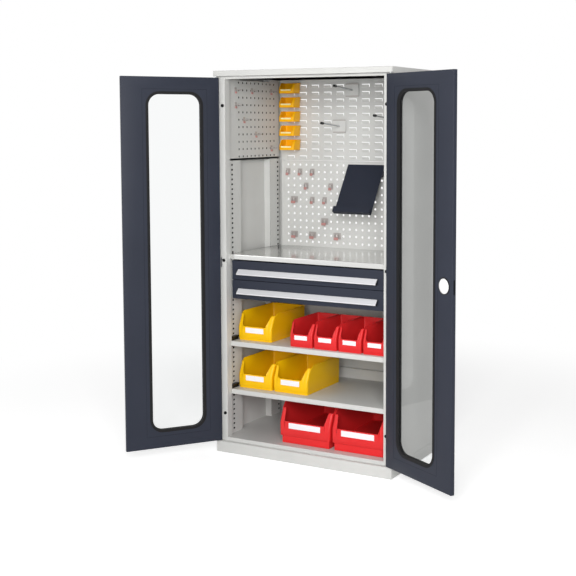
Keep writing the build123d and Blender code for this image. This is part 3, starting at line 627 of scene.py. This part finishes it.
def addDoorLines(side):
    # the joint between a door's frame and the tray let into it
    sign = 1 if side == "left" else -1
    half = doorLines["width"] / 2
    z0, z1 = doorLines["height"]
    y0, y1 = doorLines["face"] - 0.0002, doorLines["face"] + 0.0002
    bm = bmesh.new()
    for x in doorLines["from"]:
        ends = sorted((sign * (x - half), sign * (x + half)))
        addBox(bm, (ends[0], y0, z0), (ends[1], y1, z1))
    ends = sorted(sign * x for x in doorLines["from"])
    for z in (z0, z1):
        addBox(bm, (ends[0], y0, z - half), (ends[1], y1, z + half))
    bmesh.ops.transform(bm, matrix=doorMatrix(side), verts=bm.verts)
    name = f"doorSeam{side.title()}"
    addPiece(name, meshFrom(bm, name), f"door_{side}", "seamShade")


def addLockRing():
    face, proud = doorLines["face"], lockRing["proud"]
    profile = [
        (lockRing["inner"], 0.0), (lockRing["outer"], 0.0), (lockRing["outer"], proud * 0.6),
        (lockRing["outer"] - proud * 0.5, proud), (lockRing["inner"], proud),
    ]
    bm = bmesh.new()
    rings = []
    for i in range(lockRing["steps"]):
        a = 2 * math.pi * i / lockRing["steps"]
        x, z = -lockRing["centre"][0], lockRing["centre"][1]
        rings.append([bm.verts.new((x + r * math.cos(a), face + d, z + r * math.sin(a))) for r, d in profile])
    for i, a in enumerate(rings):
        b = rings[(i + 1) % len(rings)]
        for k in range(len(profile)):
            n = (k + 1) % len(profile)
            bm.faces.new((a[k], a[n], b[n], b[k]))
    bmesh.ops.recalc_face_normals(bm, faces=bm.faces[:])
    bmesh.ops.transform(bm, matrix=doorMatrix("right"), verts=bm.verts)
    addPiece("lockRing", meshFrom(bm, "lockRing", 35), "door_right", "blackPlasticAndShade")


def addLatchSlotShade():
    # painted shade of the slot let into the free edge beside the lock: a dark box in place of its shaded
    # inside
    bm = bmesh.new()
    addBox(bm, latchSlot["low"], latchSlot["high"])
    bmesh.ops.transform(bm, matrix=doorMatrix("right"), verts=bm.verts)
    addPiece("latchSlot", meshFrom(bm, "latchSlot"), "door_right", "paintedHoleShade")


def addStrikePlate():
    bm = bmesh.new()
    addBox(bm, *strikePlate["plate"], strikePlate["edge"])
    addBox(bm, *strikePlate["mouth"])
    addPiece("strikePlate", meshFrom(bm, "strikePlate"), "cabinet", "zincPlate")


for side in ("left", "right"):
    addDoorLines(side)
addLockRing()
addLatchSlotShade()
addStrikePlate()


# handle end caps and painted shadow ----------------------------------------

handleCap = {"length": 0.003, "shadow": 0.0015}


def addHandleCapsAndShadow(level):
    low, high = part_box(f"drawer_{level}_handle")
    outline = [
        (high.y - 0.0005, high.z), (high.y - 0.0005, high.z - 0.0065), (low.y + 0.0015, low.z - 0.0005),
        (low.y + 0.0003, low.z), (low.y + 0.0003, low.z + 0.005), (high.y - 0.004, high.z),
    ]
    bm = bmesh.new()
    addPrism(bm, outline, low.x - handleCap["length"], low.x)
    addPrism(bm, outline, high.x, high.x + handleCap["length"])
    # painted shadow: a black strip along the handle's foot
    addBox(bm, (low.x, low.y + 0.004, low.z - handleCap["shadow"]), (high.x, high.y - 0.001, low.z + 0.0003))
    name = f"handleCaps{level.title()}"
    addPiece(name, meshFrom(bm, name), f"drawer_{level}", "blackPlasticAndShade")


addHandleCapsAndShadow("upper")
addHandleCapsAndShadow("lower")


# document shelf ------------------------------------------------------------

documentShelf = {"top": (0.258, 1.470), "toe": (0.098, 1.222), "lip": 0.022, "brim": 0.030, "sheet": 0.0015}


def addDocumentShelf():
    # the plate's copy, with the front of the trough along its foot
    low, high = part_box("document_shelf")
    top, toe = Vector(documentShelf["top"]), Vector(documentShelf["toe"])
    down = (toe - top).normalized()
    out = Vector((down.y, -down.x))
    sheet = documentShelf["sheet"]
    lip = toe + out * documentShelf["lip"]
    brim = lip - down * documentShelf["brim"]
    foot = down * sheet
    bm = copyOf("document_shelf")
    outline = [lip + foot, brim, brim + out * sheet, lip + out * sheet + foot]
    addPrism(bm, [tuple(p) for p in outline], low.x, high.x)
    addPiece("documentTray", meshFrom(bm, "documentTray"), "cabinet", "anthracitePaint", ["document_shelf"])


addDocumentShelf()


# hooks and clips -----------------------------------------------------------

hookPlate = {"front": 0.2521, "splitAt": 0.251, "bar": 0.006, "barProud": 0.0012}
clipPad = {"drop": 0.004, "half": 0.006, "reach": (0.001, 0.007), "share": 0.3, "skin": (0.0015, 0.003)}
sidePegs = -0.44  # the pegs of the side panel lie left of this


def addHooks():
    # plates painted like the wall with a darker strip of painted shade along the top and foot, where their
    # folds fall in shade, and bare rods
    bm = copyOf("tool_hooks")
    bars = bmesh.new()
    for group in islands(bm):
        low, high = boxOf([v for v in group if v.co.y > hookPlate["front"] - 0.0006])
        front = low.y - hookPlate["barProud"]
        # painted shade: darker strips at the top and foot of each plate
        for z in (high.z - hookPlate["bar"], low.z):
            addBox(bars, (low.x, front, z), (high.x, low.y + 0.0003, z + hookPlate["bar"]), 0.0003)
    rods = bm.copy()
    split = hookPlate["splitAt"]
    ahead = [f for f in bm.faces if f.calc_center_median().y < split]
    behind = [f for f in rods.faces if f.calc_center_median().y >= split]
    bmesh.ops.delete(bm, geom=ahead, context="FACES")
    bmesh.ops.delete(rods, geom=behind, context="FACES")
    addPiece("hookPlates", meshFrom(bm, "hookPlates"), "cabinet", "carcassPaint", ["tool_hooks"])
    addPiece("hookRods", meshFrom(rods, "hookRods", 50), "cabinet", "zincPlate")
    addPiece("hookBars", meshFrom(bars, "hookBars"), "cabinet", "clipSteelAndFoldShade")


def addClipPads():
    # soft red pads on the lower jaws
    bm = copyOf("tool_clips")
    pads = bmesh.new()
    drop, share = clipPad["drop"], clipPad["share"]
    for group in islands(bm):
        low, high = boxOf(group)
        middle = (low + high) / 2
        if low.x < sidePegs:
            (near, far), half = clipPad["reach"], clipPad["half"]
            start = (low.x + near, middle.y - half, low.z - drop)
            end = (low.x + far, middle.y + half, low.z + half)
        else:
            (out, inwards), half = clipPad["skin"], (high.x - low.x) * share
            start = (middle.x - half, low.y - out, low.z - drop)
            end = (middle.x + half, low.y + inwards, low.z + (high.z - low.z) * share)
        addBox(pads, start, end, 0.001)
    bm.free()
    addPiece("clipPads", meshFrom(pads, "clipPads"), "cabinet", "clipRed")


addHooks()
addClipPads()
print("fittings made")


# bins ----------------------------------------------------------------------

bins = {
    "medium": {
        "count": 3, "paint": "yellowPlastic", "corner": 0.014, "base": 0.08, "inset": 0.006, "low": 0.51,
        "bend": 0.60, "lean": 0.12, "flange": (0.185, 0.09), "ear": 0.92,
        "card": (0.109, 0.031), "cardGap": 0.002, "cardPaint": "labelCard",
    },
    "narrow": {
        "count": 4, "paint": "redPlastic", "corner": 0.010, "base": 0.08, "inset": 0.004, "low": 0.50,
        "bend": 0.60, "lean": 0.12, "flange": (0.19, 0.10), "ear": 0.92,
        "card": (0.073, 0.026), "cardGap": 0.002, "cardPaint": "labelCard",
    },
    "large": {
        "count": 2, "paint": "redPlastic", "corner": 0.014, "base": 0.20, "inset": 0.014, "low": 0.57,
        "bend": 0.60, "lean": 0.10, "flange": (0.125, 0.085), "ear": 0.88,
        "card": (0.182, 0.030), "cardGap": 0.005, "cardPaint": "labelCard",
    },
    "small": {
        "count": 5, "paint": "orangePlastic", "corner": 0.012, "base": 0.10, "inset": 0.003, "low": 0.40,
        "bend": 0.40, "lean": 0.28, "flange": (0.16, 0.13), "ear": 0.94,
        # the small bins' card is their card holder, with a painted highlight in its paler colour
        "card": (0.062, 0.008), "cardGap": 0.001, "cardPaint": "smallCardAndHighlight",
    },
}
binShape = {"wall": 0.0022, "rim": 0.003, "band": 0.006, "cornerSteps": 5, "curveSteps": 7, "draft": 0.012}
hungBin = {"depth": 0.082, "half": 0.046, "ledge": 0.0137, "lip": 0.0014}


def binOutline(width, depth, spec):
    # points round the bin from the front's middle: place, way in, share of the rim, share of the height
    half, corner, steps = width / 2, spec["corner"], binShape["cornerSteps"]
    lowEnd, earEnd = (half - share * width for share in spec["flange"])
    points = [(0.0, spec["low"]), (lowEnd * 0.5, spec["low"]), (lowEnd, spec["low"])]
    for i in range(1, binShape["curveSteps"] + 1):
        t = i / binShape["curveSteps"]
        eased = 0.6 * t + 0.4 * t * t * (3 - 2 * t)
        points.append((lowEnd + (earEnd - lowEnd) * t, spec["low"] + (spec["ear"] - spec["low"]) * eased))
    outline = [(Vector((x, 0)), Vector((0, 1)), 0.25, top) for x, top in points]

    def arc(cx, cy, start, tops, rims):
        for i in range(steps + 1):
            a, t = math.radians(start + 90 * i / steps), i / steps
            way = Vector((math.cos(a), math.sin(a)))
            outline.append((Vector((cx, cy)) + way * corner, -way, rims[0] + (rims[1] - rims[0]) * t, tops))

    arc(half - corner, corner, -90, spec["ear"], (0.25, 1.0))
    outline.append((Vector((half, corner + 0.004)), Vector((-1, 0)), 1.0, (spec["ear"] + 1) / 2))
    outline.append((Vector((half, corner + 0.008)), Vector((-1, 0)), 1.0, 1.0))
    outline.append((Vector((half, depth * 0.5)), Vector((-1, 0)), 1.0, 1.0))
    arc(half - corner, depth - corner, 0, 1.0, (1.0, 1.0))
    outline.append((Vector((0, depth)), Vector((0, -1)), 1.0, 1.0))
    mirrored = [
        (Vector((-p.x, p.y)), Vector((-n.x, n.y)), rim, top) for p, n, rim, top in reversed(outline[1:-1])
    ]
    return outline + mirrored


def binMesh(name, size, spec):
    width, depth, height = size
    outline = binOutline(width, depth, spec)
    rise = height * spec["base"]
    inset, wall = spec["inset"], binShape["wall"]
    band = binShape["band"] * min(1.0, height / 0.12)
    draft = binShape["draft"] * height
    # each level gives how far in from the outline it is, from the rim's width there, and its height
    levels = [
        (lambda e: inset + 0.0015, lambda top: 0.0),
        (lambda e: inset, lambda top: 0.0015),
        (lambda e: inset, lambda top: rise - 0.002),
        (lambda e: e + draft + 0.0012, lambda top: rise),
        (lambda e: e + draft, lambda top: rise + 0.002),
        (lambda e: e + draft * 0.5, lambda top: (rise + top - band) / 2),
        (lambda e: e, lambda top: top - band),
        (lambda e: e * 0.3, lambda top: top - band),
        (lambda e: 0.0, lambda top: top - band + 0.0008),
        (lambda e: 0.0, lambda top: top - 0.0008),
        (lambda e: e * 0.3, lambda top: top),
        (lambda e: e + wall - 0.0005, lambda top: top),
        (lambda e: e + wall, lambda top: top - 0.0008),
        (lambda e: e + wall + draft, lambda top: rise + wall + 0.003),
        (lambda e: e + wall + draft + 0.003, lambda top: rise + wall),
    ]
    bm = bmesh.new()
    rings = []
    for inwards, level in levels:
        ring = []
        for p, n, share, top in outline:
            q = p + n * inwards(binShape["rim"] * share)
            z = level(top * height)
            lean = max(0.0, z / height - spec["bend"]) / (1 - spec["bend"]) * spec["lean"] * depth
            ring.append(bm.verts.new((q.x, q.y + lean * (1 - q.y / depth), z)))
        rings.append(ring)
    count = len(outline)
    for lower, upper in zip(rings, rings[1:]):
        for i in range(count):
            j = (i + 1) % count
            bm.faces.new((lower[i], lower[j], upper[j], upper[i]))
    bm.faces.new(list(reversed(rings[0])))
    bm.faces.new(rings[-1])
    bmesh.ops.recalc_face_normals(bm, faces=bm.faces[:])
    return bm


def cardPlace(size, spec):
    # the card's middle height, and how far back the front wall stands there
    wide, high = spec["card"]
    middle = size[2] * spec["low"] - spec["cardGap"] - high / 2
    return middle, binShape["rim"] * 0.25 + binShape["draft"] * size[2] * 0.5


def addCardFrame(bm, size, spec):
    # thin ledges at the foot and ends of the card
    wide, high = spec["card"]
    middle, y = cardPlace(size, spec)
    edge, z0, z1 = 0.0018, middle - high / 2, middle + high / 2
    for x0, x1, low, top in (
        (-wide / 2 - edge, wide / 2 + edge, z0 - edge, z0), (-wide / 2 - edge, -wide / 2, z0, z1),
        (wide / 2, wide / 2 + edge, z0, z1),
    ):
        addBox(bm, (x0, y - 0.0018, low), (x1, y + 0.001, top), 0.0003)


def addBinHook(bm, size, reach):
    # ledge behind a hung bin that drops over the louvres
    top = size[2] - hungBin["ledge"]
    half, depth = hungBin["half"], hungBin["depth"]
    addBox(bm, (-half, depth - 0.003, top), (half, reach, top + 0.002), 0.0004)
    addBox(bm, (-half, reach - hungBin["lip"], top - 0.003), (half, reach, top + 0.001))


def addBin(node, name, spec, kind):
    low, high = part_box(node)
    reach = high.y - low.y
    size = (high.x - low.x, hungBin["depth"] if kind == "small" else reach, high.z - low.z)
    place = Matrix.Translation(((low.x + high.x) / 2, low.y, low.z))
    bm = binMesh(name, size, spec)
    if kind == "small":
        addBinHook(bm, size, reach)
    else:
        addCardFrame(bm, size, spec)
    bmesh.ops.transform(bm, matrix=place, verts=bm.verts)
    addPiece(name, meshFrom(bm, name, 40), node, spec["paint"], [node])
    wide, tall = spec["card"]
    middle, y = cardPlace(size, spec)
    # on the small bins this strip is partly painted highlight
    card = bmesh.new()
    start, end = (-wide / 2, y - 0.0012, middle - tall / 2), (wide / 2, y + 0.0012, middle + tall / 2)
    addBox(card, start, end, 0.0003)
    bmesh.ops.transform(card, matrix=place, verts=card.verts)
    addPiece(name + "Card", meshFrom(card, name + "Card"), node, spec["cardPaint"])


for kind, spec in bins.items():
    for index in range(1, spec["count"] + 1):
        addBin(f"bin_{kind}_{index}", f"{kind}Bin{index}", spec, kind)
print("bins made")


# stage and light -----------------------------------------------------------

studio = {
    "ambient": 0.32,
    "keyPower": 230.0, "keyPlace": (2.4, -5.0, 2.3), "keySize": 2.6,
    "sidePower": 35.0, "sidePlace": (-3.6, -4.0, 2.6), "sideSize": 2.6,
    "aim": (0.0, 0.0, 0.9),
    "floorWhite": 0.9, "floorGlow": 0.52, "fade": (1.5, 3.2),
}


def seenDirectly(tree):
    # 1 for what the camera, glass and mirrors see, 0 for what lights the object
    path = tree.nodes.new("ShaderNodeLightPath")
    most = path.outputs["Is Camera Ray"]
    for other in ("Is Glossy Ray", "Is Transmission Ray"):
        node = tree.nodes.new("ShaderNodeMath")
        node.operation = "MAXIMUM"
        tree.links.new(most, node.inputs[0])
        tree.links.new(path.outputs[other], node.inputs[1])
        most = node.outputs["Value"]
    return most


def mixedShader(tree, factor, first, second):
    mix = tree.nodes.new("ShaderNodeMixShader")
    tree.links.new(factor, mix.inputs["Fac"])
    tree.links.new(first, mix.inputs[1])
    tree.links.new(second, mix.inputs[2])
    return mix.outputs["Shader"]


def addWorld():
    world = bpy.data.worlds.new("studio")
    bpy.context.scene.world = world
    world.use_nodes = True
    tree = world.node_tree
    lit = tree.nodes["Background"]
    seen = tree.nodes.new("ShaderNodeBackground")
    for node, strength in ((lit, studio["ambient"]), (seen, 1.0)):
        node.inputs["Color"].default_value = (1, 1, 1, 1)
        node.inputs["Strength"].default_value = strength
    both = mixedShader(tree, seenDirectly(tree), lit.outputs["Background"], seen.outputs["Background"])
    tree.links.new(both, tree.nodes["World Output"].inputs["Surface"])


def glowing(tree, strength):
    glow = tree.nodes.new("ShaderNodeEmission")
    glow.inputs["Strength"].default_value = strength
    return glow.outputs["Emission"]


def floorMaterial():
    # white floor that keeps the soft shadow near the object and fades to plain white further off
    material = bpy.data.materials.new("studioFloor")
    material.use_nodes = True
    tree = material.node_tree
    shader = tree.nodes["Principled BSDF"]
    white = studio["floorWhite"]
    shader.inputs["Base Color"].default_value = (white, white, white, 1)
    shader.inputs["Roughness"].default_value = 0.9
    shader.inputs["Specular IOR Level"].default_value = 0.0
    near = tree.nodes.new("ShaderNodeAddShader")
    tree.links.new(shader.outputs["BSDF"], near.inputs[0])
    tree.links.new(glowing(tree, studio["floorGlow"]), near.inputs[1])
    away = tree.nodes.new("ShaderNodeVectorMath")
    away.operation = "LENGTH"
    tree.links.new(coordinates(tree), away.inputs[0])
    fade = tree.nodes.new("ShaderNodeMapRange")
    fade.interpolation_type = "SMOOTHSTEP"
    fade.inputs["From Min"].default_value = studio["fade"][0]
    fade.inputs["From Max"].default_value = studio["fade"][1]
    tree.links.new(away.outputs["Value"], fade.inputs["Value"])
    seen = mixedShader(tree, fade.outputs["Result"], near.outputs["Shader"], glowing(tree, 1.0))
    both = mixedShader(tree, seenDirectly(tree), shader.outputs["BSDF"], seen)
    tree.links.new(both, tree.nodes["Material Output"].inputs["Surface"])
    return material


def addFloor():
    bm = bmesh.new()
    bmesh.ops.create_grid(bm, x_segments=1, y_segments=1, size=30.0)
    bmesh.ops.translate(bm, vec=(0, 0, -0.0005), verts=bm.verts)
    mesh = meshFrom(bm, "studioFloor")
    mesh.materials.append(floorMaterial())
    floor = bpy.data.objects.new("studioFloor", mesh)
    bpy.context.scene.collection.objects.link(floor)


def addLamp(name, power, place, size):
    data = bpy.data.lights.new(name, "AREA")
    data.energy = power
    data.size = size
    lamp = bpy.data.objects.new(name, data)
    bpy.context.scene.collection.objects.link(lamp)
    lamp.location = place
    lamp.rotation_mode = "QUATERNION"
    lamp.rotation_quaternion = (Vector(studio["aim"]) - Vector(place)).to_track_quat("-Z", "Y")


addWorld()
addFloor()
addLamp("keyLamp", studio["keyPower"], studio["keyPlace"], studio["keySize"])
addLamp("sideLamp", studio["sidePower"], studio["sidePlace"], studio["sideSize"])
bpy.context.scene.view_settings.view_transform = "Standard"
print("stage and light made")
